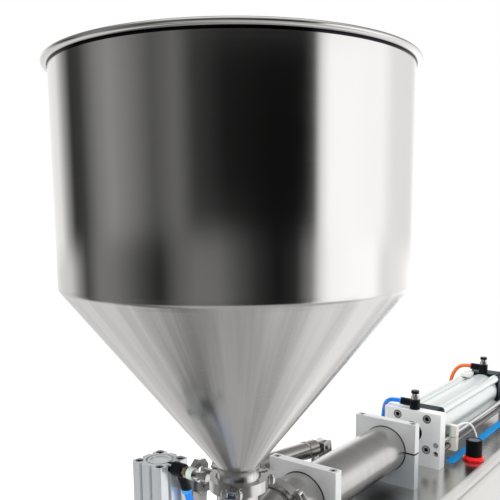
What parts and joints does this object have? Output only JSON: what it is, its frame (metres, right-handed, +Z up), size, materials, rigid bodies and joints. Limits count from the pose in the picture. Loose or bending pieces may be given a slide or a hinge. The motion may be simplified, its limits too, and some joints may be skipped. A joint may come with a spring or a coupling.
{
  "type": "piston filling machine",
  "caption": "Bench piston filler: open cone hopper, three-way valve, pump cylinder driven by an air cylinder, shut-off nozzle and a sheet-steel table cabinet on rubber feet.",
  "frame": {"origin": "on the floor plane under the middle of the machine's box", "axes": "+X from the filling nozzle to the rear panel along the pump's axis, +Y to the side of the valve's crank and air cylinder, +Z up"},
  "size_m": [1.18, 0.4138, 0.9075],
  "materials": {
    "stainless_sheet": "satin",
    "stainless_spun": "brushed",
    "stainless_machined": "turned",
    "stainless_polished": "polished",
    "clamp_plate": "pale anodised",
    "barrel_extrusion": "anodised",
    "dark_casting": "satin",
    "black_steel": "black oxide",
    "zinc_steel": "plain",
    "black_rubber": "matte",
    "seal_white": "matte",
    "black_plastic": "satin",
    "red_plastic": "gloss",
    "cream_plastic": "satin",
    "switch_grey": "satin",
    "white_plastic": "satin",
    "scale_blue": "gloss",
    "hose_blue": "gloss",
    "hose_orange": "gloss",
    "cable_white": "satin"
  },
  "bodies": {
    "frame": {"cabinet_shell": "stainless_sheet", "bottom_plate": "stainless_sheet", "rear_panel": "stainless_sheet", "cabinet_fasteners": "zinc_steel", "rubber_feet": "black_rubber", "regulator_body": "dark_casting", "knob_lock_ring": "red_plastic", "scale_strip": "scale_blue", "front_clamp_upper": "clamp_plate", "front_clamp_lower": "clamp_plate", "rear_clamp_upper": "clamp_plate", "rear_clamp_lower": "clamp_plate", "socket_screws": "zinc_steel", "material_cylinder": "stainless_polished", "cylinder_clamp_segments": "stainless_machined", "hopper_clamp_segments": "stainless_machined", "clamp_links": "stainless_machined", "swing_bolts": "stainless_machined", "clamp_gaskets": "seal_white", "valve_body": "stainless_machined", "valve_end_cap": "stainless_machined", "actuator_cylinder": "stainless_polished", "actuator_bracket": "zinc_steel", "hopper": "stainless_spun", "union_nuts": "stainless_machined", "nozzle_body": "stainless_machined", "nozzle_tube": "stainless_polished", "nozzle_cylinder": "barrel_extrusion", "mount_block": "clamp_plate", "air_front_cap": "dark_casting", "air_barrel": "barrel_extrusion", "air_rear_cap": "dark_casting", "guide_rod": "stainless_polished", "screw_support": "clamp_plate", "end_switch": "white_plastic", "flow_controls": "black_plastic", "hose_fittings": "black_plastic", "block_hose": "hose_blue", "rear_hose": "hose_orange", "nozzle_hose": "hose_blue"},
    "piston": {"material_piston": "seal_white", "piston_seals": "black_rubber", "rod_coupling": "stainless_machined", "piston_rod": "stainless_polished", "air_piston": "barrel_extrusion"},
    "valve_plug": {"valve_rotor": "stainless_machined", "crank_arm": "stainless_machined"},
    "actuator_piston": {"actuator_rod": "zinc_steel"},
    "nozzle_valve": {"nozzle_plunger": "stainless_polished"},
    "pressure_dial": {"pressure_knob": "black_plastic"},
    "block_needle": {"block_flow_knob": "black_plastic"},
    "rear_needle": {"rear_flow_knob": "black_plastic"},
    "nozzle_needle": {"nozzle_flow_knob": "zinc_steel"},
    "hopper_nut": {"hopper_wing_nut": "stainless_machined"},
    "cylinder_nut": {"cylinder_wing_nut": "stainless_machined"},
    "volume_screw": {"adjusting_screw": "black_steel", "volume_knob": "black_plastic"},
    "sensor_carriage": {"sensor_bracket": "cream_plastic", "travel_switch": "switch_grey", "sensor_cable": "cable_white"}
  },
  "joints": [
    {"name": "piston_stroke", "type": "slide", "parent": "frame", "child": "piston", "axis": [1, 0, 0], "range_m": [0, 0.25]},
    {"name": "valve_turn", "type": "hinge", "parent": "frame", "child": "valve_plug", "pos_m": [-0.383, 0.072, 0.35], "axis": [0, 1, 0], "range_deg": [-45, 45]},
    {"name": "actuator_stroke", "type": "slide", "parent": "frame", "child": "actuator_piston", "axis": [0.9935, 0, -0.1136], "range_m": [-0.046, 0.046]},
    {"name": "nozzle_stroke", "type": "slide", "parent": "frame", "child": "nozzle_valve", "axis": [0, 0, 1], "range_m": [-0.012, 0]},
    {"name": "pressure_turn", "type": "hinge", "parent": "frame", "child": "pressure_dial", "pos_m": [0.199, -0.084, 0.31], "axis": [0, 0, 1], "range_deg": [-720, 720]},
    {"name": "block_needle_turn", "type": "hinge", "parent": "frame", "child": "block_needle", "pos_m": [0.123, 0, 0.42], "axis": [0, 0, 1], "range_deg": [0, 1800]},
    {"name": "rear_needle_turn", "type": "hinge", "parent": "frame", "child": "rear_needle", "pos_m": [0.479, 0, 0.42], "axis": [0, 0, 1], "range_deg": [0, 1800]},
    {"name": "nozzle_needle_turn", "type": "hinge", "parent": "frame", "child": "nozzle_needle", "pos_m": [-0.513, -0.045, 0.485], "axis": [0, -1, 0], "range_deg": [0, 1800]},
    {"name": "hopper_nut_turn", "type": "hinge", "parent": "frame", "child": "hopper_nut", "pos_m": [-0.38135, 0.04737, 0.422], "axis": [0.9994, -0.0349, 0], "range_deg": [0, 720]},
    {"name": "cylinder_nut_turn", "type": "hinge", "parent": "frame", "child": "cylinder_nut", "pos_m": [-0.3088, 0.05647, 0.37281], "axis": [0, 0.3746, -0.9272], "range_deg": [0, 720]},
    {"name": "volume_turn", "type": "hinge", "parent": "frame", "child": "volume_screw", "pos_m": [0.54, -0.046, 0.317], "axis": [1, 0, 0], "range_deg": [0, 21600]},
    {"name": "sensor_travel", "type": "slide", "parent": "frame", "child": "sensor_carriage", "axis": [1, 0, 0], "range_m": [0, 0.24]}
  ],
  "couplings": [
    {"joint": "actuator_stroke", "follows": "valve_turn", "m_per_rad": 0.05784},
    {"joint": "sensor_travel", "follows": "volume_turn", "m_per_rad": 0.00063662}
  ]
}
